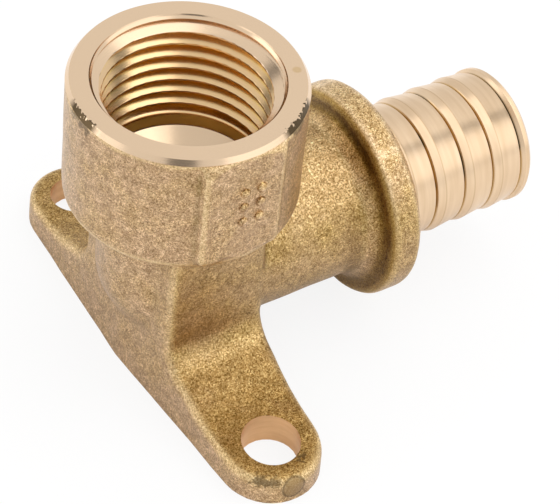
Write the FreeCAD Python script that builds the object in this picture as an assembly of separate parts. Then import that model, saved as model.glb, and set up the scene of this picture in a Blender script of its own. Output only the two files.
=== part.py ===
import FreeCAD
import Part
import math
import os

os.makedirs("parts", exist_ok=True)

# Wall plate elbow: one brass forging with a threaded socket, a barbed pipe spigot and two screw ears.
# All sizes are in millimetres. The wall is the plane z = 0, the socket's axis is Z,
# the spigot points along +X, and the ears lie along Y.

# Socket, drilled, tapped and faced; the bore has the thread's major radius as far as the thread goes
socket_height = 40.3
socket_depth = 15.3
thread_radius = 10.48
thread_depth = 1.16
thread_run_out = 1.6
mouth_chamfer = 0.15

# Collar, as forged round the socket
collar_wall = 2.77
collar_edge_drop = 0.3
collar_edge_round = 1.2
face_chamfer_width = 0.4
face_chamfer_height = 0.6

# Raised flats on the two sides of the collar, for a wrench, set back a little from the spigot
flats_across = 26.4
flat_width = 10.2
flat_length = 14.5
flat_setback = 0.4
flat_corner_round = 1.0
flat_edge_round = 0.6

# Neck under the collar, with the rounded outside of the elbow
neck_wall = 3.65
neck_flare = 2.4

# Barrel that leads from the neck to the flange
barrel_wall = 3.2
flange_near_face = 21.6
flange_thickness = 4.2
flange_height = 3.7
flange_wall_gap = 0.84
flange_edge_round = 1.0
flange_blend = 1.6
flange_chamfer = 0.8

# Barbed spigot for the pipe
barb_wall = 1.98
barb_height = 0.32
barb_start = 1.1
barb_pitch = 4.12
barb_flank = 1.2
barb_count = 4
end_ring_width = 1.42
end_ring_flank = 0.5
end_ring_chamfer = 0.4

# Water way
passage_radius = 5.5
spigot_bore_radius = 6.1
bore_mouth_chamfer = 0.4

# Drills, for the socket as for the water way
drill_point_angle = 118.0

# Wall plate with its two ears, seen from above
screw_pitch = 44.8
screw_hole_radius = 3.4
ear_wall = 2.55
plate_taper = 1.25
plate_draft_angle = 1.6
plate_edge_round = 1.0

# Ears and the legs that rise from them to the collar, seen along X
ear_thickness = 3.4
ear_rise = 0.8
ear_root_round = 20.0
slope_run = 8.0
slope_rise = 3.3
leg_depth = 19.0
leg_foot_round = 4.0

# Sizes and places that follow from those above
collar_radius = thread_radius + collar_wall
socket_floor = socket_height - socket_depth
thread_end = socket_floor + thread_run_out
tap_drill_radius = thread_radius - thread_depth
collar_edge = socket_floor - collar_edge_drop
neck_radius = passage_radius + neck_wall
barrel_radius = spigot_bore_radius + barrel_wall
flange_radius = barrel_radius + flange_height
flange_far_face = flange_near_face + flange_thickness
spigot_axis_height = flange_radius + flange_wall_gap
barb_root_radius = spigot_bore_radius + barb_wall
barb_crest_radius = barb_root_radius + barb_height
first_crease = flange_far_face + barb_start
last_crease = first_crease + barb_count * barb_pitch
spigot_end = last_crease + end_ring_width
ear_radius = screw_hole_radius + ear_wall
plate_half_width = ear_radius + plate_taper
ear_tip = screw_pitch / 2 + ear_radius

UP = FreeCAD.Vector(0, 0, 1)
ALONG_SPIGOT = FreeCAD.Vector(1, 0, 0)
ELBOW_CENTRE = FreeCAD.Vector(0, 0, spigot_axis_height)
ROUNDING_SHARE = 0.48
SURFACE_TOLERANCE = 0.01


def rounded_outline(corners, to_space):
    """A closed wire through (a, b, rounding) corners in a plane, placed by to_space(a, b).

    A rounding is a tangent arc, and never takes more than its share of the runs on its two sides.
    """
    count = len(corners)
    points = [FreeCAD.Vector(a, b, 0) for a, b, rounding in corners]
    arcs = []
    for index, (a, b, rounding) in enumerate(corners):
        corner = points[index]
        back = points[index - 1] - corner
        ahead = points[(index + 1) % count] - corner
        half_angle = back.getAngle(ahead) / 2
        room = ROUNDING_SHARE * min(back.Length, ahead.Length)
        reach = min(rounding / math.tan(half_angle), room)
        back.normalize()
        ahead.normalize()
        inward = back + ahead
        depth = reach / math.cos(half_angle) - reach * math.tan(half_angle)
        if rounding > 0:
            inward.normalize()
        arcs.append((corner + back * reach, corner + inward * depth, corner + ahead * reach))
    edges = []
    for index, (start, middle, end) in enumerate(arcs):
        if corners[index][2] > 0:
            bend = [to_space(point.x, point.y) for point in (start, middle, end)]
            edges.append(Part.Arc(*bend).toShape())
        following = arcs[(index + 1) % count][0]
        run = [to_space(point.x, point.y) for point in (end, following)]
        edges.append(Part.LineSegment(*run).toShape())
    return Part.Wire(edges)


def turned_about_socket(corners):
    """A solid of revolution about the socket's axis, from (radius, height, rounding) corners."""
    wire = rounded_outline(corners, lambda radius, height: FreeCAD.Vector(radius, 0, height))
    return Part.Face(wire).revolve(FreeCAD.Vector(), UP, 360)


def turned_about_spigot(corners):
    """A solid of revolution about the spigot's axis, from (x, radius, rounding) corners."""
    wire = rounded_outline(corners, lambda x, radius: ELBOW_CENTRE + FreeCAD.Vector(x, 0, radius))
    return Part.Face(wire).revolve(ELBOW_CENTRE, ALONG_SPIGOT, 360)


def drill_point(radius):
    """How deep the cone at the end of a drilled hole is."""
    return radius / math.tan(math.radians(drill_point_angle / 2))


def drilled(start, direction, depth, radius):
    """A drilled hole with its cone-shaped end, as a solid to cut away."""
    hole = Part.makeCylinder(radius, depth, start, direction)
    point = Part.makeCone(radius, 0, drill_point(radius), start + direction * depth, direction)
    return hole.fuse(point)


def collar_and_neck():
    """The collar, flared out from its neck, whose lower end is round like the outside of a bent pipe."""
    turned = turned_about_socket([
        (0, spigot_axis_height, 0),
        (neck_radius, spigot_axis_height, 0),
        (neck_radius, collar_edge - neck_flare, 0),
        (collar_radius, collar_edge, collar_edge_round),
        (collar_radius, socket_height, 0),
        (0, socket_height, 0),
    ])
    return turned.fuse(Part.makeSphere(neck_radius, ELBOW_CENTRE))


def collar_flats():
    """One block through the collar, which leaves a raised flat on each side."""
    near_side = flat_width / 2 - flat_setback
    far_side = near_side - flat_width
    flat_bottom = socket_height - face_chamfer_height - flat_length
    wire = rounded_outline([
        (far_side, flat_bottom, flat_corner_round),
        (near_side, flat_bottom, flat_corner_round),
        (near_side, socket_height, 0),
        (far_side, socket_height, 0),
    ], lambda x, z: FreeCAD.Vector(x, -flats_across / 2, z))
    block = Part.Face(wire).extrude(FreeCAD.Vector(0, flats_across, 0))
    rims = []
    for edge in block.Edges:
        box = edge.BoundBox
        on_flat = box.YLength < SURFACE_TOLERANCE
        on_top = box.ZMin > socket_height - SURFACE_TOLERANCE
        if on_flat and not on_top:
            rims.append(edge)
    return block.makeFillet(flat_edge_round, rims)


def barrel_and_spigot():
    """Barrel, flange and barbed spigot, turned as one. Each barb has its steep flank towards the flange."""
    corners = [
        (0, 0, 0),
        (0, barrel_radius, 0),
        (flange_near_face - flange_blend, barrel_radius, 0),
        (flange_near_face, barrel_radius + flange_blend, 0),
        (flange_near_face, flange_radius, flange_edge_round),
        (flange_far_face - flange_chamfer, flange_radius, 0),
        (flange_far_face, flange_radius - flange_chamfer, 0),
        (flange_far_face, barb_crest_radius, 0),
    ]
    for index in range(barb_count):
        crease = first_crease + index * barb_pitch
        corners.append((crease, barb_root_radius, 0))
        corners.append((crease + barb_flank, barb_crest_radius, 0))
    corners.append((last_crease, barb_root_radius, 0))
    corners.append((last_crease + end_ring_flank, barb_crest_radius, 0))
    corners.append((spigot_end - end_ring_chamfer, barb_crest_radius, 0))
    corners.append((spigot_end, barb_crest_radius - end_ring_chamfer, 0))
    corners.append((spigot_end, 0, 0))
    return turned_about_spigot(corners)


def drafted_plate(height):
    """The plate, narrower upwards: straight sides taper from the middle and end in two round ears."""
    ear_centre = screw_pitch / 2
    draft = height * math.tan(math.radians(plate_draft_angle))
    side_lean = math.atan2(ear_centre, plate_half_width)
    turn = math.acos(ear_radius / math.hypot(ear_centre, plate_half_width)) - side_lean

    def corners(inset, level):
        ear = ear_radius - inset
        middle = plate_half_width - inset / math.cos(turn)
        quarter = [(middle, 0), (ear * math.cos(turn), ear_centre + ear * math.sin(turn)), (0, ear_centre)]
        half = quarter + [(-x, y) for x, y in reversed(quarter[:2])]
        places = half + [(x, -y) for x, y in reversed(half[1:4])]
        return [FreeCAD.Vector(x, y, level) for x, y in places]

    foot = corners(0, 0)
    top = corners(draft, height)
    faces = [Part.Face(Part.makePolygon(ring + ring[:1])) for ring in (foot, top)]
    for index in range(len(foot)):
        side = [foot[index - 1], foot[index], top[index], top[index - 1], foot[index - 1]]
        faces.append(Part.Face(Part.makePolygon(side)))
    between_ears = Part.Solid(Part.Shell(faces))

    turn_degrees = math.degrees(turn)
    ears = []
    for facing in (0, 180):
        centre = FreeCAD.Vector(0, ear_centre, 0)
        ear = Part.makeCone(ear_radius, ear_radius - draft, height, centre, UP, 180 - 2 * turn_degrees)
        ear.rotate(centre, UP, turn_degrees)
        ear.rotate(FreeCAD.Vector(), UP, facing)
        ears.append(ear)
    return between_ears.multiFuse(ears).removeSplitter()


def plate_and_legs():
    """The drafted plate, cut to its side view: flat ears that sweep up into two legs under the collar."""
    leg_top = collar_edge + collar_edge_round
    drafted = drafted_plate(leg_top)

    leg_face = leg_depth / 2
    slope_foot = leg_face + slope_run
    ear_root_height = ear_thickness + ear_rise
    ear_run = ear_tip - slope_foot
    half_profile = [
        (ear_tip + ear_run, 0, 0),
        (ear_tip + ear_run, ear_thickness - ear_rise, 0),
        (slope_foot, ear_root_height, ear_root_round),
        (leg_face, ear_root_height + slope_rise, leg_foot_round),
        (leg_face, leg_top, 0),
    ]
    other_half = [(-y, z, rounding) for y, z, rounding in reversed(half_profile)]
    outside = 2 * plate_half_width
    wire = rounded_outline(half_profile + other_half, lambda y, z: FreeCAD.Vector(-outside, y, z))
    side_view = Part.Face(wire).extrude(FreeCAD.Vector(2 * outside, 0, 0))
    blank = drafted.common(side_view)

    rims = []
    for edge in blank.Edges:
        box = edge.BoundBox
        on_wall_face = box.ZMin < SURFACE_TOLERANCE
        on_leg_top = box.ZMin > leg_top - SURFACE_TOLERANCE
        across_legs = box.XLength > plate_half_width and box.YLength < SURFACE_TOLERANCE
        if not (on_wall_face or on_leg_top or across_legs):
            rims.append(edge)
    return blank.makeFillet(plate_edge_round, rims)


def turned_rim():
    """What the lathe takes off round the socket's face: the chamfer, also across the flats' corners."""
    face_radius = collar_radius - face_chamfer_width
    corner_radius = math.hypot(flats_across / 2, flat_width / 2 + flat_setback) + collar_wall
    steepness = face_chamfer_height / face_chamfer_width
    depth = (corner_radius - face_radius) * steepness
    return turned_about_socket([
        (face_radius, socket_height, 0),
        (corner_radius, socket_height - depth, 0),
        (corner_radius, socket_height, 0),
    ])


def socket_hollow():
    """The tapped bore, the plain end of its drilled hole and the cone that the drill leaves as a floor."""
    return turned_about_socket([
        (0, socket_floor - drill_point(tap_drill_radius), 0),
        (tap_drill_radius, socket_floor, 0),
        (tap_drill_radius, thread_end, 0),
        (thread_radius, thread_end, 0),
        (thread_radius, socket_height - mouth_chamfer, 0),
        (thread_radius + mouth_chamfer, socket_height, 0),
        (0, socket_height, 0),
    ])


def water_way():
    """The two drilled passages that meet in the elbow, with the spigot's chamfered mouth."""
    from_socket = drilled(
        FreeCAD.Vector(0, 0, socket_floor), -UP, socket_floor - spigot_axis_height, passage_radius)
    spigot_mouth = ELBOW_CENTRE + ALONG_SPIGOT * spigot_end
    from_spigot = drilled(spigot_mouth, -ALONG_SPIGOT, spigot_end, spigot_bore_radius)
    chamfer = Part.makeCone(
        spigot_bore_radius + bore_mouth_chamfer, spigot_bore_radius, bore_mouth_chamfer,
        spigot_mouth, -ALONG_SPIGOT)
    return from_socket.multiFuse([from_spigot, chamfer])


def screw_holes():
    holes = []
    for side in (-1, 1):
        centre = FreeCAD.Vector(0, side * screw_pitch / 2, 0)
        holes.append(Part.makeCylinder(screw_hole_radius, spigot_axis_height, centre, UP))
    return holes


forging = collar_and_neck().multiFuse([collar_flats(), barrel_and_spigot(), plate_and_legs()])
machined = forging.cut([turned_rim(), socket_hollow(), water_way()] + screw_holes())
elbow_body = machined.removeSplitter()
print("valid", elbow_body.isValid(), "volume", round(elbow_body.Volume, 1), "solids", len(elbow_body.Solids))
elbow_body.exportStep("parts/elbow_body.step")
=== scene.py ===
import math

import bmesh
import bpy
import numpy as np
from mathutils import Matrix, Vector, noise


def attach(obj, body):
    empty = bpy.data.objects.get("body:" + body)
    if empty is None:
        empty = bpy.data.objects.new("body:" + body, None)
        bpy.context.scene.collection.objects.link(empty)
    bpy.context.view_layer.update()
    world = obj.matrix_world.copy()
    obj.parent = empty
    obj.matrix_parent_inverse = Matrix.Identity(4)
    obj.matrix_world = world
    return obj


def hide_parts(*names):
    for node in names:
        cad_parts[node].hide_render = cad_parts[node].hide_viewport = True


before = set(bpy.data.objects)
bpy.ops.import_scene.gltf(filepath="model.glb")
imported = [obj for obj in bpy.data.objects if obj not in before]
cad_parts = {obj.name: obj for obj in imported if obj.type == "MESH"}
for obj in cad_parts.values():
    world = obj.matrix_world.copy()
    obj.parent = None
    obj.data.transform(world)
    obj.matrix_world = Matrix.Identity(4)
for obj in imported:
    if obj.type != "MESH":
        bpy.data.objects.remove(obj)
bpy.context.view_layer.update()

# Forged body: the hot-pressed brass blank, with collar, elbow, flange, legs and ears in one piece.
# It is blasted after trimming, so its walls run into each other in soft fillets and carry a fine grain.
# The screw holes and the water way are drilled, and the turned pieces below cover what the lathe has cut.
MM = 0.001
SPIGOT_AXIS_Z = 13.84
skin_voxel = 0.3
foot = 1.0
screw_hole_place = 22.4
screw_hole_radius = 3.4
fillet_passes = 8
flange_fillet_passes = 9
edge_passes = 3
collar_edge_passes = 1
press_wave_height = 0.08
press_wave_length = 4.5
fine_wave_height = 0.012
fine_wave_length = 1.6
hidden_share = 0.06
hole_segments = 96
skin_crease_angle = 50
bend_passes = 5
most_bend = 3
grid_neighbours = 4
bend_clear = 0.4
smoothing_step = 0.5
weld_gap = 0.002
base_gap = 0.01
flat_gap = 0.001

# How far the lathe and the drills have cut, and how far the skin is drawn back under the turned pieces.
face_height = 40.3
face_radius = 12.85
face_low = 39.55
face_reach = 13.4
rim_reach = 13.22
socket_floor = 25.0
socket_cut = 11.2
socket_end_top = 26.9
cone_cut = 9.0
cone_low = 22.0
passage_cut = 6.0
passage_low = 8.0
bore_cut = 6.6
bore_back = -4.8
spigot_root = 25.4
spigot_tip = 44.8
hole_reach = 3.95
tuck = 0.25
floor_tuck = 0.4
face_tuck = 0.68
spigot_tuck = 0.35
hole_tuck = 0.45

# Places where the smoothing, the colour of the skin or its painted light and shade change.
collar_rim = 25.0
collar_low = 22.6
flange_side = 14.0
flange_back_at = 21.4
ear_height = 6.0
barrel_top_height = 20.0
recess_reach = 10.0
rim_line_reach = 0.45
gate_mark = (-0.46, -28.31, 2.1)
gate_radius = 1.15
ragged_reach = 2.5
nick_radius = 0.6
hole_nick_radius = 0.45
edge_nicks = ((-1.42, -26.18, 4.55), (-2.25, -25.65, 4.5), (-2.95, -24.9, 4.5))
hole_nick = (2.95, -24.65, 4.9)
collar_tears = ((-12.0, 2.6, 40.7), (-12.0, 1.3, 40.7), (-11.95, 0.2, 40.7),
                (7.6, -10.6, 40.7), (8.6, -9.7, 40.7))

# The blank's foot is made longer here, so that the facing cut further down leaves a flat back.
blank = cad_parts["elbow_body"].data.copy()
merged = bmesh.new()
merged.from_mesh(blank)
bmesh.ops.remove_doubles(merged, verts=merged.verts, dist=weld_gap * MM)
for vertex in merged.verts:
    if vertex.co.z < base_gap * MM:
        vertex.co.z = -foot * MM
merged.to_mesh(blank)
merged.free()
forged_body = bpy.data.objects.new("forged_body", blank)
bpy.context.scene.collection.objects.link(forged_body)


def apply_modifiers(piece):
    """Makes what a piece's modifiers give its plain mesh."""
    graph = bpy.context.evaluated_depsgraph_get()
    piece.data = bpy.data.meshes.new_from_object(piece.evaluated_get(graph))
    piece.modifiers.clear()


def places_of(mesh):
    """The places of a mesh's vertices, in millimetres."""
    points = np.empty(len(mesh.vertices) * 3)
    mesh.vertices.foreach_get("co", points)
    return points.reshape(-1, 3) / MM


def distances(points):
    """How far points lie from the socket's axis, the spigot's axis and the nearer screw hole's axis."""
    from_spigot = np.hypot(points[:, 1], points[:, 2] - SPIGOT_AXIS_Z)
    from_hole = np.hypot(points[:, 0], np.abs(points[:, 1]) - screw_hole_place)
    return np.hypot(points[:, 0], points[:, 1]), from_spigot, from_hole


def zone(radii, reach, along, start, end=math.inf):
    """Which points lie within a reach of an axis, from one place along it to another."""
    return (radii < reach) & (along > start) & (along < end)


skin = forged_body.modifiers.new("skin", "REMESH")
skin.mode = "VOXEL"
skin.voxel_size = skin_voxel * MM
apply_modifiers(forged_body)
forged_mesh = forged_body.data
places = places_of(forged_mesh)
edges = np.empty(len(forged_mesh.edges) * 2, dtype=np.int64)
forged_mesh.edges.foreach_get("vertices", edges)
edges = edges.reshape(-1, 2)
quads = np.empty(len(forged_mesh.loops), dtype=np.int64)
forged_mesh.loops.foreach_get("vertex_index", quads)
quads = quads.reshape(-1, 4)
vertex_count = len(places)
neighbours = np.bincount(edges.ravel(), minlength=vertex_count)[:, None]


def spread(indices, values):
    """The values summed at each vertex that the indices name."""
    return np.stack([np.bincount(indices, values[:, axis], vertex_count) for axis in range(3)], axis=1)


def towards_neighbours(points):
    """From each vertex to the mean of its neighbours."""
    total = spread(edges[:, 0], points[edges[:, 1]]) + spread(edges[:, 1], points[edges[:, 0]])
    return total / neighbours - points


def outward(points):
    """The unit normal at each vertex."""
    across = np.cross(points[quads[:, 2]] - points[quads[:, 0]], points[quads[:, 3]] - points[quads[:, 1]])
    total = sum(spread(quads[:, corner], across) for corner in range(4))
    return total / np.maximum(np.linalg.norm(total, axis=1, keepdims=True), 1e-9)


# Machined places keep their form. Elsewhere inner corners are filled first, and then edges are rounded.
x, y, z = places.T
socket_r, spigot_r, hole_r = distances(places)
in_socket = zone(socket_r, socket_cut + 1, z, socket_floor + 0.2) | zone(socket_r, cone_cut, z, cone_low)
on_face = zone(socket_r, face_reach, z, face_low)
in_bore = zone(spigot_r, bore_cut, x, bore_back)
in_passage = zone(socket_r, passage_cut, z, passage_low, socket_floor + 0.2)
machined = in_socket | on_face | in_bore | in_passage | (x > spigot_root) | (hole_r < hole_reach)
as_forged = (~machined).astype(float)[:, None]
below_collar = as_forged * (z < collar_low)[:, None]
by_flange = as_forged * (x > flange_side)[:, None]
for turn in range(flange_fillet_passes):
    normals = outward(places)
    rise = np.sum(towards_neighbours(places) * normals, axis=1, keepdims=True)
    reach = below_collar if turn < fillet_passes else by_flange
    places = places + smoothing_step * reach * np.maximum(rise - flat_gap, 0) * normals
for turn in range(edge_passes):
    reach = as_forged if turn < collar_edge_passes else below_collar
    places = places + smoothing_step * reach * towards_neighbours(places)

# The skin is a little uneven from the press, and is drawn back where a turned piece lies over it.
normals = outward(places)
waves = np.array([
    press_wave_height * noise.noise(Vector(place) / press_wave_length)
    + fine_wave_height * noise.noise(Vector(place) / fine_wave_length) for place in places])
places = places + as_forged * waves[:, None] * normals
x, y, z = places.T
radial = np.stack([x, y, 0 * z], axis=1) / np.maximum(socket_r, 1e-6)[:, None]
about_spigot = np.stack([0 * x, y, z - SPIGOT_AXIS_Z], axis=1) / np.maximum(spigot_r, 1e-6)[:, None]
socket_wall = (socket_r > cone_cut - 0.1) & zone(socket_r, socket_cut, z, socket_floor - 0.1)
places[socket_wall] += radial[socket_wall] * tuck
cone = (socket_r > passage_cut - 0.8) & zone(socket_r, cone_cut, z, cone_low, socket_end_top)
drill_end = zone(socket_r, cone_cut + 0.9, z, socket_floor - 1.1, socket_end_top)
thread_end = zone(socket_r, socket_cut, z, socket_floor + 0.9, socket_end_top)
places[cone | drill_end | thread_end, 2] -= floor_tuck
places[on_face, 2] = np.minimum(places[on_face, 2], face_height - face_tuck)
face_rim = on_face & (socket_r > rim_reach)
places[face_rim] -= radial[face_rim] * (socket_r[face_rim] - rim_reach)[:, None]
spigot_outside = (x > spigot_root + 0.55) & (spigot_r > bore_cut + 0.4)
places[spigot_outside] -= about_spigot[spigot_outside] * spigot_tuck
places[x > spigot_tip - 0.5, 0] -= tuck
bore_mouth = (x > spigot_tip - 2.3) & (spigot_r < bore_cut + 0.4)
places[bore_mouth] += about_spigot[bore_mouth] * tuck
near_hole = hole_r < hole_reach - 0.05
hole_centre = np.sign(y[near_hole]) * screw_hole_place
inwards = np.stack([-x[near_hole], hole_centre - y[near_hole]], axis=1) / hole_r[near_hole][:, None]
places[near_hole, :2] += hole_tuck * inwards
forged_mesh.vertices.foreach_set("co", (places * MM).ravel())
forged_mesh.update()

# The screw holes are drilled through the ears, and the back is faced flat for the wall.
drill_length = 20
block_size = 100
cutters = []
for side in (-1, 1):
    cylinder = bmesh.new()
    bmesh.ops.create_cone(cylinder, cap_ends=True, segments=hole_segments, radius1=screw_hole_radius * MM,
                          radius2=screw_hole_radius * MM, depth=drill_length * MM,
                          matrix=Matrix.Translation((0, side * screw_hole_place * MM, 0)))
    cutters.append(("drill", cylinder))
block = bmesh.new()
bmesh.ops.create_cube(block, size=block_size * MM, matrix=Matrix.Translation((0, 0, -block_size / 2 * MM)))
cutters.append(("facing_cut", block))
for name, cutter in cutters:
    tool = bpy.data.objects.new(name, bpy.data.meshes.new(name))
    cutter.to_mesh(tool.data)
    cutter.free()
    bpy.context.scene.collection.objects.link(tool)
    cutting = forged_body.modifiers.new(name, "BOOLEAN")
    cutting.operation = "DIFFERENCE"
    cutting.solver = "MANIFOLD"
    cutting.object = tool
    apply_modifiers(forged_body)
    bpy.data.objects.remove(tool)

# Faces that the turned pieces cover are kept few.
places = places_of(forged_body.data)
x, y, z = places.T
socket_r, spigot_r, hole_r = distances(places)
covered = (zone(socket_r, socket_cut, z, socket_floor + 0.2, face_low - 0.55)
           | zone(socket_r, cone_cut, z, cone_low, socket_floor + 0.2)
           | zone(socket_r, passage_cut, z, passage_low, cone_low)
           | zone(spigot_r, bore_cut + 0.1, x, bore_back + 0.8)
           | ((x > spigot_root + 0.8) & (x < spigot_tip - 0.8)) | (z < flat_gap))
hidden = forged_body.vertex_groups.new(name="hidden")
hidden.add(np.flatnonzero(covered).tolist(), 1.0, "REPLACE")
thinning = forged_body.modifiers.new("thinning", "DECIMATE")
thinning.vertex_group = "hidden"
thinning.ratio = 1 - (1 - hidden_share) * covered.mean()
apply_modifiers(forged_body)
forged_body.vertex_groups.clear()
forged_mesh = forged_body.data
forged_mesh.shade_smooth()
forged_mesh.set_sharp_from_angle(angle=math.radians(skin_crease_angle))

# How sharply the skin bends at each vertex, outward or inward, is kept for wear, painted highlights and
# painted shade.
places = places_of(forged_mesh)
vertex_count = len(places)
normals = np.empty(vertex_count * 3)
forged_mesh.vertices.foreach_get("normal", normals)
edges = np.empty(len(forged_mesh.edges) * 2, dtype=np.int64)
forged_mesh.edges.foreach_get("vertices", edges)
edges = edges.reshape(-1, 2)
neighbours = np.bincount(edges.ravel(), minlength=vertex_count)[:, None]
rise = np.sum(towards_neighbours(places) * normals.reshape(-1, 3), axis=1)
bends = -grid_neighbours * rise / skin_voxel ** 2
cut_edge = (distances(places)[2] < hole_reach + 0.25) | (places[:, 2] < bend_clear)
bends = np.where(cut_edge, 0, np.clip(bends, -most_bend, most_bend))
bends = np.repeat(bends[:, None], 3, axis=1)
for turn in range(bend_passes):
    bends = bends + smoothing_step * towards_neighbours(bends)
forged_mesh.attributes.new("bend", "FLOAT", "POINT").data.foreach_set("value", bends[:, 0].copy())


def node(tree, kind, inputs=None, **settings):
    """A node with its settings made, and its inputs set to values or joined to other nodes' sockets."""
    made = tree.nodes.new(kind)
    for name, value in settings.items():
        setattr(made, name, value)
    for name, value in (inputs or {}).items():
        if isinstance(value, bpy.types.NodeSocket):
            tree.links.new(value, made.inputs[name])
        else:
            made.inputs[name].default_value = value
    return made


def math_of(tree, operation, *values):
    """The output of a math node on numbers or sockets."""
    return node(tree, "ShaderNodeMath", dict(enumerate(values)), operation=operation).outputs[0]


def ramp(tree, factor, *stops):
    """The colour that a ramp with (position, colour) stops gives for a factor."""
    made = node(tree, "ShaderNodeValToRGB", {"Fac": factor})
    elements = made.color_ramp.elements
    while len(elements) < len(stops):
        elements.new(0.5)
    for element, (position, colour) in zip(elements, stops):
        element.position = position
        element.color = (*colour, 1)
    return made.outputs["Color"]


def blend(tree, factor, first, second, how="MIX"):
    """Two colours mixed by a factor."""
    made = node(tree, "ShaderNodeMix", data_type="RGBA", blend_type=how)
    for socket, value in zip((made.inputs[0], made.inputs[6], made.inputs[7]), (factor, first, second)):
        if isinstance(value, bpy.types.NodeSocket):
            tree.links.new(value, socket)
        else:
            socket.default_value = value
    return made.outputs[2]


def metal(name, roughness):
    """A metal material, its node tree, its shader and the object's own coordinates."""
    material = bpy.data.materials.new(name)
    material.use_nodes = True
    tree = material.node_tree
    shader = tree.nodes["Principled BSDF"]
    shader.inputs["Metallic"].default_value = 1.0
    shader.inputs["Roughness"].default_value = roughness
    return material, tree, shader, node(tree, "ShaderNodeTexCoord").outputs["Object"]


def fade(tree, value, start, end, low=0.0, high=1.0):
    """A number that goes from low to high while a value goes from start to end."""
    return node(tree, "ShaderNodeMapRange", {
        "Value": value, "From Min": start, "From Max": end, "To Min": low, "To Max": high}).outputs[0]


def spot(tree, where, place, radius, edge):
    """1 inside a round spot about a place in millimetres, and 0 outside its soft edge."""
    middle = [along * MM for along in place]
    away = node(tree, "ShaderNodeVectorMath", {0: where, 1: middle}, operation="DISTANCE").outputs["Value"]
    return fade(tree, away, (radius + edge) * MM, radius * MM)


blasted_brass, tree, shader, where = metal("blasted_brass", 0.33)
grain = node(tree, "ShaderNodeTexNoise", {
    "Vector": where, "Scale": 5200.0, "Detail": 3.0, "Roughness": 0.6, "Distortion": 1.2}).outputs["Fac"]
mottle = node(tree, "ShaderNodeTexNoise", {
    "Vector": where, "Scale": 900.0, "Detail": 3.0, "Roughness": 0.6}).outputs["Fac"]
patches = node(tree, "ShaderNodeTexNoise", {
    "Vector": where, "Scale": 240.0, "Detail": 4.0, "Roughness": 0.6}).outputs["Fac"]
facing = node(tree, "ShaderNodeSeparateXYZ", {
    0: node(tree, "ShaderNodeNewGeometry").outputs["Normal"]}).outputs
place = node(tree, "ShaderNodeSeparateXYZ", {0: where}).outputs
recess = node(tree, "ShaderNodeAmbientOcclusion", {"Distance": recess_reach * MM}, samples=8,
              only_local=True).outputs["AO"]
bend = node(tree, "ShaderNodeAttribute", attribute_name="bend").outputs["Fac"]

# The skin is pinkish on upright walls and golden in random patches. The gold on up-facing skin and in
# recesses is painted light.
pinkish = ramp(tree, grain, (0.36, (0.28, 0.172, 0.088)), (0.5, (0.54, 0.35, 0.197)),
               (0.64, (0.88, 0.655, 0.42)))
golden = ramp(tree, grain, (0.37, (0.19, 0.105, 0.026)), (0.5, (0.56, 0.35, 0.13)),
              (0.63, (1.0, 0.77, 0.39)))
gold_patches_and_painted_light = math_of(tree, "ADD", fade(tree, facing["Z"], -0.1, 1.0),
                     fade(tree, patches, 0.35, 0.65, -0.25, 0.35))
gold_patches_and_painted_light = math_of(tree, "MULTIPLY_ADD", math_of(tree, "SUBTRACT", 1.0, recess), 1.4, gold_patches_and_painted_light)
gold_patches_and_painted_light = node(tree, "ShaderNodeClamp", {"Value": gold_patches_and_painted_light}).outputs[0]
skin_colour = blend(tree, gold_patches_and_painted_light, pinkish, golden)
tone = ramp(tree, mottle, (0.32, (0.74, 0.71, 0.66)), (0.66, (1.1, 1.1, 1.1)))
skin_colour = blend(tree, 1.0, skin_colour, tone, "MULTIPLY")

# Edges are rubbed bright, partly wear and partly a painted highlight, and creases and recesses get painted
# shade.
rubbed_and_highlit = ramp(tree, grain, (0.36, (0.50, 0.33, 0.15)), (0.5, (0.80, 0.57, 0.29)),
              (0.64, (1.0, 0.80, 0.48)))
# A light line on the collar's lower edge, partly wear and partly a painted highlight.
from_rim = math_of(tree, "ABSOLUTE", math_of(tree, "SUBTRACT", place["Z"], collar_rim * MM))
rim_line = fade(tree, from_rim, rim_line_reach * MM, rim_line_reach / 3 * MM, high=0.8)
rim_line = math_of(tree, "MULTIPLY", rim_line, fade(tree, bend, 0.0, 0.15))
wear_and_painted_highlight = math_of(tree, "MAXIMUM", fade(tree, bend, 0.25, 0.85, high=0.7), rim_line)
skin_colour = blend(tree, wear_and_painted_highlight, skin_colour, rubbed_and_highlit)
# Painted shade: concave creases darken in uneven patches, and recesses darken by occlusion except on
# up-facing skin.
painted_crease_shade = math_of(tree, "MULTIPLY", fade(tree, bend, -0.15, -0.8, high=0.8),
                  fade(tree, patches, 0.4, 0.58, low=0.5))
skin_colour = blend(tree, painted_crease_shade, skin_colour, (0.15, 0.097, 0.02, 1))
shade = ramp(tree, recess, (0.35, (0.19, 0.135, 0.035)), (0.85, (1, 1, 1)))
skin_colour = blend(tree, fade(tree, facing["Z"], 0.0, 0.7, 1.0, 0.0), skin_colour, shade, "MULTIPLY")

# Painted shade darkens the flange's near side, the ears' tops and the front of the leg, and painted light
# brightens the barrel's top.
flange_back_painted_shade = math_of(tree, "MULTIPLY", fade(tree, facing["X"], -0.35, -0.8),
                      fade(tree, place["X"], (flange_back_at - 1) * MM, flange_back_at * MM))
ear_top_painted_shade = math_of(tree, "MULTIPLY", fade(tree, facing["Z"], 0.8, 0.97),
                  fade(tree, place["Z"], (ear_height + 3) * MM, ear_height * MM))
over_ear = fade(tree, place["Z"], (ear_height - 2) * MM, ear_height * MM)
under_collar = fade(tree, place["Z"], (collar_low + 0.4) * MM, (collar_low - 1.1) * MM)
leg_front_painted_shade = math_of(tree, "MULTIPLY", fade(tree, facing["Y"], -0.7, -0.9),
                    math_of(tree, "MULTIPLY", over_ear, under_collar))
barrel_top_painted_light = math_of(tree, "MULTIPLY", fade(tree, facing["Z"], 0.4, 0.8),
                     fade(tree, place["Z"], (barrel_top_height - 4) * MM, barrel_top_height * MM))
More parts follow.
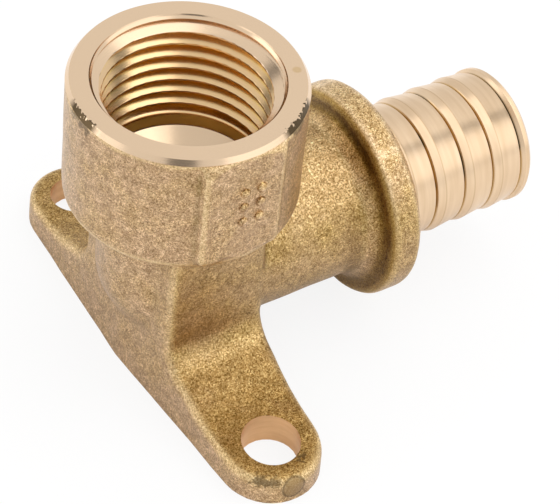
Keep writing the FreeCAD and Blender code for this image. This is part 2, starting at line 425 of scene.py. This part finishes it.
for share, painted_tone in ((flange_back_painted_shade, (0.60, 0.53, 0.31, 1)), (ear_top_painted_shade, (0.72, 0.66, 0.53, 1)),
                    (leg_front_painted_shade, (0.89, 0.88, 0.76, 1)), (barrel_top_painted_light, (1.14, 1.15, 1.3, 1))):
    skin_colour = blend(tree, share, skin_colour, painted_tone, "MULTIPLY")

# The near ear has a round gate mark on its end and dark nicks at its edge and hole.
# The skin is torn in spots just under the collar's face.
gate = spot(tree, where, gate_mark, gate_radius, 0.15)
gate_rim = math_of(tree, "SUBTRACT", spot(tree, where, gate_mark, gate_radius + 0.25, 0.2), gate)
shift = node(tree, "ShaderNodeTexNoise", {"Vector": where, "Scale": 1500.0, "Detail": 2.0}).outputs["Color"]
ragged = node(tree, "ShaderNodeVectorMath", {0: shift, 1: [ragged_reach * MM] * 3, 2: where},
              operation="MULTIPLY_ADD").outputs[0]
nicks = spot(tree, ragged, hole_nick, hole_nick_radius, 0.25)
for nick in edge_nicks:
    nicks = math_of(tree, "MAXIMUM", nicks, spot(tree, ragged, nick, nick_radius, 0.3))
for tear in collar_tears:
    nicks = math_of(tree, "MAXIMUM", nicks, spot(tree, ragged, tear, nick_radius, 0.35))
skin_colour = blend(tree, math_of(tree, "MULTIPLY", gate, 0.75), skin_colour, (0.29, 0.185, 0.08, 1))
dark_marks = math_of(tree, "MULTIPLY", math_of(tree, "MAXIMUM", gate_rim, nicks), 0.7)
skin_colour = blend(tree, dark_marks, skin_colour, (0.10, 0.06, 0.025, 1))
tree.links.new(skin_colour, shader.inputs["Base Color"])
pits = node(tree, "ShaderNodeBump", {"Height": grain, "Strength": 0.55, "Distance": 0.12 * MM})
tree.links.new(pits.outputs["Normal"], shader.inputs["Normal"])

# The drill leaves fine rings in the holes.
drilled_brass, tree, shader, where = metal("drilled_brass", 0.32)
drawn_round = node(tree, "ShaderNodeMapping", {"Vector": where, "Scale": (300, 300, 1800)}).outputs[0]
streaks = node(tree, "ShaderNodeTexNoise", {
    "Vector": drawn_round, "Scale": 1.0, "Detail": 2.0}).outputs["Fac"]
tree.links.new(ramp(tree, streaks, (0.3, (0.80, 0.52, 0.28)), (0.7, (0.89, 0.60, 0.34))),
               shader.inputs["Base Color"])

forged_mesh.materials.clear()
forged_mesh.materials.append(blasted_brass)
forged_mesh.materials.append(drilled_brass)
middles = np.empty(len(forged_mesh.polygons) * 3)
forged_mesh.polygons.foreach_get("center", middles)
middles = middles.reshape(-1, 3) / MM
socket_r, spigot_r, hole_r = distances(middles)
x, y, z = middles.T
drilled = ((hole_r < screw_hole_radius + 0.02) | (z < flat_gap)
           | zone(spigot_r, bore_cut - 0.1, x, bore_back + 0.2)
           | zone(socket_r, passage_cut - 0.1, z, passage_low + 1)
           | zone(socket_r, socket_cut + 0.2, z, socket_floor) | zone(socket_r, cone_cut, z, cone_low))
forged_mesh.polygons.foreach_set("material_index", drilled.astype(np.int32))
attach(forged_body, "root")
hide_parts("elbow_body")

# Turned socket: the pipe thread, its countersunk mouth, the relief under the last turn and the flat face,
# all cut into the collar in one setting on the lathe. The cut brass is bright, with fine rings.
AROUND = 192
thread_rows = 380
seam_gap = 0.001 * MM
rim_gap = 0.004 * MM
shell = 0.2 * MM
socket_crease_angle = 28
socket_top = face_height * MM
socket_floor_z = socket_floor * MM
thread_radius = 10.35 * MM
thread_pitch = 1.75 * MM
thread_start = 35.94 * MM
thread_depth = 1.03 * MM
wall_behind = 10.68 * MM
crest_share = 0.12
root_share = 0.1
run_out_share = 0.4
relief_height = 1.6 * MM
relief_end = socket_floor_z + relief_height
mouth_end = 37.4 * MM
mouth_radius = 10.72 * MM
mouth_slope = 0.85
mouth_edge_slope = 0.55
mouth_edge_break = 0.05 * MM
lip_height = 0.45 * MM
undercut_height = 0.45 * MM
lead_in_radius = 10.55 * MM
lead_in_slope = 2.4
collar_radius = 13.25 * MM
face_chamfer_height = 0.6 * MM
back_drop = 0.9 * MM
passage_radius = 5.5 * MM
drill_slope = 0.6
socket_roughness = 0.2
relief_roughness = 0.5
uncut_left = (-13.05, 0.0, 40.0)
uncut_left_radius = 1.9
uncut_right = (7.49, -10.69, 40.0)
uncut_right_radius = 2.5
uncut_fade = 1.1
edge_wander = 1.6 * MM
face_stain = (11.18, -4.08, 40.3)
stain_radius = 0.4


def ruled_tree(name, sizes):
    """A node tree with named sizes as inputs, its group input, and a unit grid to bend, with its u and v."""
    tree = bpy.data.node_groups.new(name, "GeometryNodeTree")
    tree.interface.new_socket("Geometry", in_out="OUTPUT", socket_type="NodeSocketGeometry")
    for size in sizes:
        tree.interface.new_socket(size, in_out="INPUT", socket_type="NodeSocketFloat")
    for count in ("Around", "Along"):
        tree.interface.new_socket(count, in_out="INPUT", socket_type="NodeSocketInt")
    tree.interface.new_socket("Finish", in_out="INPUT", socket_type="NodeSocketMaterial")
    given = node(tree, "NodeGroupInput").outputs
    grid = node(tree, "GeometryNodeMeshGrid", {"Vertices X": given["Around"], "Vertices Y": given["Along"]})
    on_grid = node(tree, "GeometryNodeInputPosition").outputs[0]
    place = node(tree, "ShaderNodeSeparateXYZ", {0: on_grid}).outputs
    u = math_of(tree, "ADD", place["X"], 0.5)
    v = math_of(tree, "ADD", place["Y"], 0.5)
    return tree, given, grid.outputs["Mesh"], u, v


def close_tree(tree, given, grid, place, inside):
    """Bends the grid to its place, closes its seam, and gives it its finish."""
    bent = node(tree, "GeometryNodeSetPosition", {"Geometry": grid, "Position": place}).outputs[0]
    if inside:
        bent = node(tree, "GeometryNodeFlipFaces", {"Mesh": bent}).outputs[0]
    closed = node(tree, "GeometryNodeMergeByDistance", {"Geometry": bent, "Distance": seam_gap}).outputs[0]
    real = node(tree, "GeometryNodeRealizeInstances", {"Geometry": closed}).outputs[0]
    finished = node(tree, "GeometryNodeSetMaterial", {"Geometry": real, "Material": given["Finish"]})
    node(tree, "NodeGroupOutput", {0: finished.outputs[0]})


def mesh_from_tree(name, tree, values):
    """The plain mesh that a node tree makes from its named values."""
    carrier = bpy.data.objects.new(name, bpy.data.meshes.new(name))
    bpy.context.scene.collection.objects.link(carrier)
    modifier = carrier.modifiers.new(name, "NODES")
    modifier.node_group = tree
    for item in tree.interface.items_tree:
        if item.in_out == "INPUT":
            modifier[item.identifier] = values[item.name]
    graph = bpy.context.evaluated_depsgraph_get()
    made = bpy.data.meshes.new_from_object(carrier.evaluated_get(graph))
    bpy.data.objects.remove(carrier)
    return made


def lathe(mesh, profile, to_space, finish, sharp):
    """Adds a turned surface to a mesh: (radius, height) points swept round and joined to the mesh's rims."""
    made = bmesh.new()
    made.from_mesh(mesh)
    rings = []
    for radius, height in profile:
        ring = []
        for step in range(AROUND):
            angle = math.tau * step / AROUND
            turned = (radius * math.cos(angle), radius * math.sin(angle), height)
            ring.append(made.verts.new(to_space(*turned)))
        rings.append(ring)
    for low, high in zip(rings, rings[1:]):
        for step in range(AROUND):
            after = (step + 1) % AROUND
            made.faces.new((low[step], low[after], high[after], high[step]))
    bmesh.ops.remove_doubles(made, verts=made.verts, dist=rim_gap)
    bmesh.ops.recalc_face_normals(made, faces=made.faces)
    for face in made.faces:
        face.smooth = True
        face.material_index = 0
    made.to_mesh(mesh)
    made.free()
    mesh.materials.clear()
    mesh.materials.append(finish)
    mesh.set_sharp_from_angle(angle=math.radians(sharp))


turned_socket_brass, tree, shader, where = metal("turned_socket_brass", socket_roughness)
blotches = node(tree, "ShaderNodeTexNoise", {
    "Vector": where, "Scale": 2600.0, "Detail": 3.0}).outputs["Fac"]
place = node(tree, "ShaderNodeSeparateXYZ", {0: where}).outputs
from_axis = math_of(tree, "SQRT", math_of(tree, "ADD", math_of(tree, "POWER", place["X"], 2.0),
                                          math_of(tree, "POWER", place["Y"], 2.0)))
below_mouth = fade(tree, place["Z"], mouth_end + 1 * MM, mouth_end)
above_floor = fade(tree, place["Z"], socket_floor_z, socket_floor_z + 0.3 * MM)
above_relief = fade(tree, place["Z"], relief_end - 0.1 * MM, relief_end + 0.2 * MM)
to_root = fade(tree, from_axis, thread_radius - 0.65 * thread_depth, thread_radius - 0.25 * thread_depth)

# Roots and relief are painted deeper gold than crests, as reflection off the brass round them; the relief is
# duller, the floor darker than the face.
thread_painted_gold = blend(tree, to_root, (0.785, 0.54, 0.285, 1), (0.88, 0.60, 0.17, 1))
thread_painted_gold = blend(tree, above_relief, (1.0, 0.75, 0.25, 1), thread_painted_gold)
bright = blend(tree, above_floor, (0.70, 0.52, 0.35, 1), (0.80, 0.595, 0.405, 1))
bright = blend(tree, math_of(tree, "MULTIPLY", below_mouth, above_floor), bright, thread_painted_gold)
in_relief = math_of(tree, "SUBTRACT", above_floor, above_relief)
roughness = fade(tree, in_relief, 0.0, 1.0, socket_roughness, relief_roughness)
tree.links.new(roughness, shader.inputs["Roughness"])

# The face has one small stain, and its edge is left uncut in two ragged stretches.
stain = math_of(tree, "MULTIPLY", spot(tree, where, face_stain, stain_radius, 0.2), 0.5)
bright = blend(tree, stain, bright, (0.62, 0.41, 0.17, 1))
missed = math_of(tree, "MAXIMUM", spot(tree, where, uncut_left, uncut_left_radius, uncut_fade),
                 spot(tree, where, uncut_right, uncut_right_radius, uncut_fade))
wander = math_of(tree, "MULTIPLY_ADD", blotches, edge_wander, from_axis)
at_edge = fade(tree, wander, face_radius * MM + 0.45 * edge_wander, face_radius * MM + 0.5 * edge_wander)
uncut = math_of(tree, "MULTIPLY", math_of(tree, "MULTIPLY", missed, at_edge), 0.95)
tree.links.new(blend(tree, uncut, bright, (0.07, 0.045, 0.018, 1)), shader.inputs["Base Color"])
tool_path = math_of(tree, "ADD", from_axis, place["Z"])
rings = node(tree, "ShaderNodeTexNoise", {"W": tool_path, "Scale": 9000.0, "Detail": 2.0},
             noise_dimensions="1D").outputs["Fac"]
ring_bump = node(tree, "ShaderNodeBump", {"Height": rings, "Strength": 0.12, "Distance": 0.02 * MM})
tree.links.new(ring_bump.outputs["Normal"], shader.inputs["Normal"])

# The thread is a grid wound round the axis. Its ridges climb one pitch a turn and run out at the relief.
# The mouth has a narrow lip, and under it an undercut and a steep lead-in.
tree, given, grid, u, v = ruled_tree(
    "socket_thread", ("Floor", "Top", "Radius", "Pitch", "Start", "Depth", "Relief", "Mouth", "Mouth slope",
                      "Edge slope", "Edge break", "Lip", "Undercut", "Lead-in", "Lead-in slope"))
height = math_of(tree, "ADD", given["Floor"],
                 math_of(tree, "MULTIPLY", v, math_of(tree, "SUBTRACT", given["Top"], given["Floor"])))
above_start = math_of(tree, "SUBTRACT", height, given["Start"])
turns = math_of(tree, "SUBTRACT", math_of(tree, "DIVIDE", above_start, given["Pitch"]), u)
wave = math_of(tree, "ABSOLUTE", math_of(tree, "MULTIPLY_ADD", math_of(tree, "FRACT", turns), 2.0, -1.0))
groove_share = fade(tree, wave, crest_share, 1 - root_share)
relief_top = math_of(tree, "ADD", given["Floor"], given["Relief"])
run_out = node(tree, "ShaderNodeMapRange",
               {"Value": height, "From Min": relief_top,
                "From Max": math_of(tree, "MULTIPLY_ADD", given["Pitch"], run_out_share, relief_top)},
               interpolation_type="SMOOTHSTEP").outputs[0]
ridge_share = math_of(tree, "SUBTRACT", 1.0, math_of(tree, "MULTIPLY", groove_share, run_out))
stands_in = math_of(tree, "MULTIPLY", ridge_share, given["Depth"])
below_top = math_of(tree, "SUBTRACT", height, given["Top"])
lip = math_of(tree, "MINIMUM",
              math_of(tree, "MULTIPLY_ADD", below_top, given["Edge slope"], given["Mouth"]),
              math_of(tree, "MULTIPLY_ADD", below_top, given["Mouth slope"],
                      math_of(tree, "ADD", given["Mouth"], given["Edge break"])))
below_lip = math_of(tree, "ADD", below_top, given["Lip"])
lead_in = math_of(tree, "MULTIPLY_ADD", math_of(tree, "ADD", below_lip, given["Undercut"]),
                  given["Lead-in slope"], given["Lead-in"])
lead_in = math_of(tree, "MINIMUM", lead_in, given["Lead-in"])
under_lip = math_of(tree, "LESS_THAN", below_lip, 0.0)
to_lead_in = math_of(tree, "MULTIPLY", under_lip, math_of(tree, "SUBTRACT", lead_in, lip))
countersink = math_of(tree, "ADD", to_lead_in, lip)
radius = math_of(tree, "MAXIMUM", math_of(tree, "SUBTRACT", given["Radius"], stands_in), countersink)
angle = math_of(tree, "MULTIPLY", u, math.tau)
position = node(tree, "ShaderNodeCombineXYZ", {
    "X": math_of(tree, "MULTIPLY", radius, math_of(tree, "COSINE", angle)),
    "Y": math_of(tree, "MULTIPLY", radius, math_of(tree, "SINE", angle)),
    "Z": height,
}).outputs[0]
close_tree(tree, given, grid, position, True)
socket_mesh = mesh_from_tree("turned_socket", tree, {
    "Floor": socket_floor_z, "Top": socket_top, "Radius": thread_radius, "Pitch": thread_pitch,
    "Start": thread_start, "Depth": thread_depth, "Relief": relief_height, "Mouth": mouth_radius,
    "Mouth slope": mouth_slope, "Edge slope": mouth_edge_slope, "Edge break": mouth_edge_break,
    "Lip": lip_height, "Undercut": undercut_height, "Lead-in": lead_in_radius,
    "Lead-in slope": lead_in_slope, "Around": AROUND + 1, "Along": thread_rows,
    "Finish": turned_socket_brass})

# The drilled cone, a hidden back wall and the face close the thread into one ring.
drill_radius = thread_radius - thread_depth
cone_end = socket_floor_z - (drill_radius - passage_radius) * drill_slope
lathe(socket_mesh, [
    (drill_radius, socket_floor_z),
    (passage_radius, cone_end),
    (passage_radius, cone_end - shell),
    (drill_radius + shell, socket_floor_z - shell),
    (wall_behind, relief_end - 1.5 * shell),
    (wall_behind, socket_top - back_drop),
    (collar_radius - tuck * MM, socket_top - back_drop),
    (collar_radius, socket_top - face_chamfer_height),
    (face_radius * MM, socket_top),
    (mouth_radius, socket_top),
], lambda a, b, height: (a, b, height), turned_socket_brass, socket_crease_angle)
turned_socket = bpy.data.objects.new("turned_socket", socket_mesh)
bpy.context.scene.collection.objects.link(turned_socket)
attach(turned_socket, "root")

# Raised pips: plain dots that the forging die leaves on the front flat of the collar.
# They are as blasted as the skin round them, and stand about 0.4 mm proud.
pip_columns = 2
pip_rows = 3
pip_spacing = 2.1 * MM
pip_radius = 0.6 * MM
pip_height = 0.42 * MM
pip_segments = 32
pip_rings = 16
pip_middle = (0.6 * MM, -13.2 * MM, 32.6 * MM)

tree = bpy.data.node_groups.new("raised_pips", "GeometryNodeTree")
tree.interface.new_socket("Geometry", in_out="OUTPUT", socket_type="NodeSocketGeometry")
for count in ("Columns", "Rows"):
    tree.interface.new_socket(count, in_out="INPUT", socket_type="NodeSocketInt")
for size in ("Spacing", "Radius", "Height"):
    tree.interface.new_socket(size, in_out="INPUT", socket_type="NodeSocketFloat")
tree.interface.new_socket("Middle", in_out="INPUT", socket_type="NodeSocketVector")
tree.interface.new_socket("Finish", in_out="INPUT", socket_type="NodeSocketMaterial")
given = node(tree, "NodeGroupInput").outputs
width = math_of(tree, "MULTIPLY", math_of(tree, "SUBTRACT", given["Columns"], 1.0), given["Spacing"])
length = math_of(tree, "MULTIPLY", math_of(tree, "SUBTRACT", given["Rows"], 1.0), given["Spacing"])
spots = node(tree, "GeometryNodeMeshGrid", {
    "Size X": width, "Size Y": length, "Vertices X": given["Columns"], "Vertices Y": given["Rows"]})
ball = node(tree, "GeometryNodeMeshUVSphere", {
    "Segments": pip_segments, "Rings": pip_rings, "Radius": given["Radius"]})
flatness = node(tree, "ShaderNodeCombineXYZ", {
    "X": 1.0, "Y": 1.0, "Z": math_of(tree, "DIVIDE", given["Height"], given["Radius"])})
pip = node(tree, "GeometryNodeTransform", {"Geometry": ball.outputs["Mesh"], "Scale": flatness.outputs[0]})
pips = node(tree, "GeometryNodeInstanceOnPoints", {
    "Points": spots.outputs["Mesh"], "Instance": pip.outputs[0]})
upright = node(tree, "GeometryNodeTransform", {
    "Geometry": pips.outputs[0], "Translation": given["Middle"], "Rotation": (math.pi / 2, 0, 0)})
real = node(tree, "GeometryNodeRealizeInstances", {"Geometry": upright.outputs[0]})
smooth = node(tree, "GeometryNodeSetShadeSmooth", {0: real.outputs[0]})
finished = node(tree, "GeometryNodeSetMaterial", {
    "Geometry": smooth.outputs[0], "Material": given["Finish"]})
node(tree, "NodeGroupOutput", {0: finished.outputs[0]})
raised_pips = bpy.data.objects.new("raised_pips", mesh_from_tree("raised_pips", tree, {
    "Columns": pip_columns, "Rows": pip_rows, "Spacing": pip_spacing, "Radius": pip_radius,
    "Height": pip_height, "Middle": pip_middle, "Finish": blasted_brass}))
bpy.context.scene.collection.objects.link(raised_pips)
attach(raised_pips, "root")

# Pipe spigot: four shallow barbs that hold the plastic pipe, an end ring and the chamfered bore.
# It is turned bright from the forging behind the flange, and each barb leaves a fine crease.
spigot_start = 25.6 * MM
spigot_end = spigot_tip * MM
spigot_crease_angle = 15
first_crease = 26.9 * MM
barb_count = 4
barb_rows = 24
flank_rows = 0.25
crease_depth = 0.2 * MM
barb_pitch = 4.12 * MM
barb_flank = 1.2 * MM
barb_root = 8.08 * MM
barb_crest = 8.4 * MM
ring_start = 43.38 * MM
ring_flank = 0.5 * MM
ring_chamfer = 0.4 * MM
bore_radius = 6.1 * MM
bore_chamfer = 0.4 * MM
bore_depth = 3.0 * MM
crease_dark_reach = 0.2 * MM
crest_line_reach = 0.12 * MM
dark_lines_end = ring_start + 0.3 * MM

turned_spigot_brass, tree, shader, where = metal("turned_spigot_brass", 0.28)
along = node(tree, "ShaderNodeSeparateXYZ", {0: where}).outputs["X"]
from_first = math_of(tree, "SUBTRACT", along, first_crease)
from_crease = math_of(tree, "PINGPONG", from_first, barb_pitch / 2)
from_crest = math_of(tree, "PINGPONG", math_of(tree, "SUBTRACT", from_first, barb_flank), barb_pitch / 2)

# The creases are darkened, partly dirt and partly painted shade, and the crests carry a fine darker line.
# The end ring has neither.
before_ring = math_of(tree, "LESS_THAN", along, dark_lines_end)
crease_dirt_and_shade = math_of(tree, "MULTIPLY", fade(tree, from_crease, crease_dark_reach, crease_dark_reach / 4), before_ring)
crest_line = fade(tree, from_crest, crest_line_reach, crest_line_reach / 4, high=0.35)
crest_line = math_of(tree, "MULTIPLY", crest_line, before_ring)
drawn_round = node(tree, "ShaderNodeMapping", {"Vector": where, "Scale": (1500, 130, 130)}).outputs[0]
smears = node(tree, "ShaderNodeTexNoise", {
    "Vector": drawn_round, "Scale": 1.0, "Detail": 3.0}).outputs["Fac"]
spigot_colour = ramp(tree, smears, (0.32, (0.725, 0.525, 0.335)), (0.5, (0.77, 0.565, 0.37)),
                     (0.68, (0.815, 0.61, 0.41)))
spigot_colour = blend(tree, crest_line, spigot_colour, (0.40, 0.24, 0.09, 1))
crease_mottle = node(tree, "ShaderNodeTexNoise", {"Vector": where, "Scale": 190.0, "Detail": 2.0}).outputs["Fac"]
dirt_and_shade_colour = ramp(tree, crease_mottle, (0.5, (0.42, 0.235, 0.05)), (0.6, (0.09, 0.055, 0.012)))
spigot_colour = blend(tree, crease_dirt_and_shade, spigot_colour, dirt_and_shade_colour)
tree.links.new(spigot_colour, shader.inputs["Base Color"])
rings = node(tree, "ShaderNodeTexNoise", {"W": along, "Scale": 3500.0, "Detail": 4.0, "Roughness": 0.7},
             noise_dimensions="1D").outputs["Fac"]
ring_bump = node(tree, "ShaderNodeBump", {"Height": rings, "Strength": 0.3, "Distance": 0.02 * MM})
tree.links.new(ring_bump.outputs["Normal"], shader.inputs["Normal"])

# Each barb climbs from its crease on a short flank, and falls slowly to the next crease.
tree, given, grid, u, v = ruled_tree(
    "spigot_barbs", ("First crease", "Barbs", "Pitch", "Flank", "Root", "Crest", "Crease depth",
                     "Axis height"))
barb = math_of(tree, "MULTIPLY", v, given["Barbs"])
share = math_of(tree, "FRACT", barb)
climb = math_of(tree, "MINIMUM", math_of(tree, "DIVIDE", share, flank_rows), 1.0)
past_flank = math_of(tree, "DIVIDE", math_of(tree, "SUBTRACT", share, flank_rows), 1 - flank_rows)
fall = math_of(tree, "MAXIMUM", past_flank, 0.0)
fall_length = math_of(tree, "SUBTRACT", given["Pitch"], given["Flank"])
in_barb = math_of(tree, "MULTIPLY_ADD", climb, given["Flank"], math_of(tree, "MULTIPLY", fall, fall_length))
from_first = math_of(tree, "MULTIPLY_ADD", math_of(tree, "FLOOR", barb), given["Pitch"], in_barb)
along = math_of(tree, "ADD", from_first, given["First crease"])
rows_away = math_of(tree, "MULTIPLY", math_of(tree, "PINGPONG", share, 0.5), barb_rows)
in_crease = math_of(tree, "MAXIMUM", math_of(tree, "SUBTRACT", 1.0, rows_away), 0.0)
groove = math_of(tree, "MULTIPLY", in_crease, given["Crease depth"])
radius = math_of(tree, "MULTIPLY_ADD", math_of(tree, "SUBTRACT", climb, fall),
                 math_of(tree, "SUBTRACT", given["Crest"], given["Root"]),
                 math_of(tree, "SUBTRACT", given["Root"], groove))
angle = math_of(tree, "MULTIPLY", u, math.tau)
position = node(tree, "ShaderNodeCombineXYZ", {
    "X": along,
    "Y": math_of(tree, "MULTIPLY", radius, math_of(tree, "COSINE", angle)),
    "Z": math_of(tree, "MULTIPLY_ADD", radius, math_of(tree, "SINE", angle), given["Axis height"]),
}).outputs[0]
close_tree(tree, given, grid, position, False)
spigot_mesh = mesh_from_tree("pipe_spigot", tree, {
    "First crease": first_crease, "Barbs": barb_count, "Pitch": barb_pitch, "Flank": barb_flank,
    "Root": barb_root, "Crest": barb_crest, "Crease depth": crease_depth, "Axis height": SPIGOT_AXIS_Z * MM,
    "Around": AROUND + 1, "Along": barb_count * barb_rows + 1, "Finish": turned_spigot_brass})

# The end ring, the mouth of the bore and a hidden back wall close the barbs into one ring.
lathe(spigot_mesh, [
    (barb_root - crease_depth, first_crease + barb_count * barb_pitch),
    (barb_crest, ring_start + ring_flank),
    (barb_crest, spigot_end - ring_chamfer),
    (barb_crest - ring_chamfer, spigot_end),
    (bore_radius + bore_chamfer, spigot_end),
    (bore_radius, spigot_end - bore_chamfer),
    (bore_radius, spigot_end - bore_depth),
    (bore_radius + shell, spigot_end - bore_depth),
    (bore_radius + 2.5 * shell, spigot_start),
    (barb_crest, spigot_start),
    (barb_root - crease_depth, first_crease),
], lambda a, b, height: (height, a, SPIGOT_AXIS_Z * MM + b), turned_spigot_brass, spigot_crease_angle)
pipe_spigot = bpy.data.objects.new("pipe_spigot", spigot_mesh)
bpy.context.scene.collection.objects.link(pipe_spigot)
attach(pipe_spigot, "root")

# Floor, light tent and camera: a white sweep under and behind the part, soft light from all sides.
# The camera stands where the photographer stood.
floor_reach = 3
floor_gap = 0.02 * MM
floor_glow = 0.85
floor_mirrored = 0.1
floor_mesh = bpy.data.meshes.new("floor")
floor_mesh.from_pydata([(side * floor_reach, end * floor_reach, 0)
                        for side, end in ((-1, -1), (1, -1), (1, 1), (-1, 1))], [], [(0, 1, 2, 3)])
floor = bpy.data.objects.new("floor", floor_mesh)
floor.location.z = -floor_gap
bpy.context.scene.collection.objects.link(floor)
white_sweep = bpy.data.materials.new("white_sweep")
white_sweep.use_nodes = True
tree = white_sweep.node_tree
shader = tree.nodes["Principled BSDF"]
shader.inputs["Base Color"].default_value = (0.9, 0.9, 0.9, 1)
shader.inputs["Roughness"].default_value = 1.0
glow = node(tree, "ShaderNodeEmission", {"Color": (1, 1, 1, 1), "Strength": 1.0})
rays = node(tree, "ShaderNodeLightPath").outputs
plainly_seen = math_of(tree, "MAXIMUM", rays["Is Camera Ray"], rays["Is Transmission Ray"])
glow_share = math_of(tree, "MULTIPLY_ADD", rays["Is Glossy Ray"], floor_mirrored,
                     math_of(tree, "MULTIPLY", plainly_seen, floor_glow))
mixed = node(tree, "ShaderNodeMixShader", {0: glow_share, 1: shader.outputs[0], 2: glow.outputs[0]})
tree.links.new(mixed.outputs[0], tree.nodes["Material Output"].inputs["Surface"])
floor_mesh.materials.append(white_sweep)

tent_mirrored = 0.9
world = bpy.data.worlds.new("light_tent")
bpy.context.scene.world = world
world.use_nodes = True
tree = world.node_tree
background = tree.nodes["Background"]
background.inputs["Color"].default_value = (1, 1, 1, 1)
rays = node(tree, "ShaderNodeLightPath").outputs
tent = fade(tree, rays["Is Glossy Ray"], 0.0, 1.0, 1.0, tent_mirrored)
tree.links.new(tent, background.inputs["Strength"])


def soft_box(name, place, aim, width, height, brightness):
    """An upright soft box that faces a point, its brightness given as seen against white."""
    lamp = bpy.data.lights.new(name, "AREA")
    lamp.shape = "RECTANGLE"
    lamp.size = width
    lamp.size_y = height
    lamp.energy = brightness * math.pi * width * height
    box = bpy.data.objects.new(name, lamp)
    box.location = place
    box.rotation_euler = (Vector(aim) - Vector(place)).to_track_quat("-Z", "Y").to_euler()
    box.visible_camera = False
    bpy.context.scene.collection.objects.link(box)


soft_box("soft_box_right", (0.31, -0.40, 0.42), (0.03, 0, 0.02), 0.8, 0.75, 0.57)
soft_box("soft_box_left", (-0.52, 0.36, 0.26), (0, 0, 0.04), 0.4, 0.4, 0.9)
soft_box("soft_box_low", (-0.62, 0.05, 0.17), (0, 0, 0.04), 0.22, 0.18, 0.5)
soft_box("soft_box_top", (0.20, 0.0, 0.6), (0, 0, 0.03), 0.6, 0.4, 0.75)

# Dark cards stand for the camera with its opening in the tent, and for the gaps between the soft boxes.
dark_cloth = bpy.data.materials.new("dark_cloth")
dark_cloth.use_nodes = True
shader = dark_cloth.node_tree.nodes["Principled BSDF"]
shader.inputs["Base Color"].default_value = (0.15, 0.15, 0.15, 1)
shader.inputs["Roughness"].default_value = 1.0


def dark_card(name, place, width, height):
    """A dark upright card with the middle of its lower edge at a place, turned to the part."""
    mesh = bpy.data.meshes.new(name)
    half = width / 2
    corners = [(-half, 0, 0), (half, 0, 0), (half, 0, height), (-half, 0, height)]
    mesh.from_pydata(corners, [], [(0, 1, 2, 3)])
    mesh.materials.append(dark_cloth)
    card = bpy.data.objects.new(name, mesh)
    card.location = place
    card.rotation_euler = (0, 0, math.atan2(place[1], place[0]) + math.pi / 2)
    card.visible_camera = False
    card.visible_diffuse = False
    card.visible_shadow = False
    bpy.context.scene.collection.objects.link(card)


dark_card("camera_opening", (-0.20, -0.30, 0), 0.16, 0.25)
dark_card("gap_behind", (-0.17, 0.35, 0.18), 0.08, 0.28)
dark_card("gap_right", (0.38, -0.10, 0.24), 0.11, 0.28)

# The camera was solved from the photo. Its lengths are in millimetres and its focal length is in pixels.
azimuth = math.radians(-37.069)
elevation = math.radians(44.924)
roll = math.radians(6.956)
camera_distance = 278.771
shift_right = 11.494
shift_down = 4.359
aim_height = 20
sensor_width = 36.0
picture_width = 560
focal_pixels = 2470.163

back = Vector((math.sin(azimuth) * math.cos(elevation), -math.cos(azimuth) * math.cos(elevation),
               math.sin(elevation)))
right = (-back).cross(Vector((0, 0, 1))).normalized()
up = right.cross(-back)
rolled_right = math.cos(roll) * right + math.sin(roll) * up
rolled_up = -math.sin(roll) * right + math.cos(roll) * up
aim = Vector((0, 0, aim_height))
stand = (aim + back * camera_distance + rolled_right * shift_right - rolled_up * shift_down) * MM
lens = bpy.data.cameras.new("camera")
lens.sensor_width = sensor_width
lens.lens = sensor_width * focal_pixels / picture_width
camera = bpy.data.objects.new("camera", lens)
camera.matrix_world = Matrix((
    (rolled_right.x, rolled_up.x, back.x, stand.x),
    (rolled_right.y, rolled_up.y, back.y, stand.y),
    (rolled_right.z, rolled_up.z, back.z, stand.z),
    (0, 0, 0, 1)))
bpy.context.scene.collection.objects.link(camera)
bpy.context.scene.camera = camera
bpy.context.scene.view_settings.view_transform = "Standard"
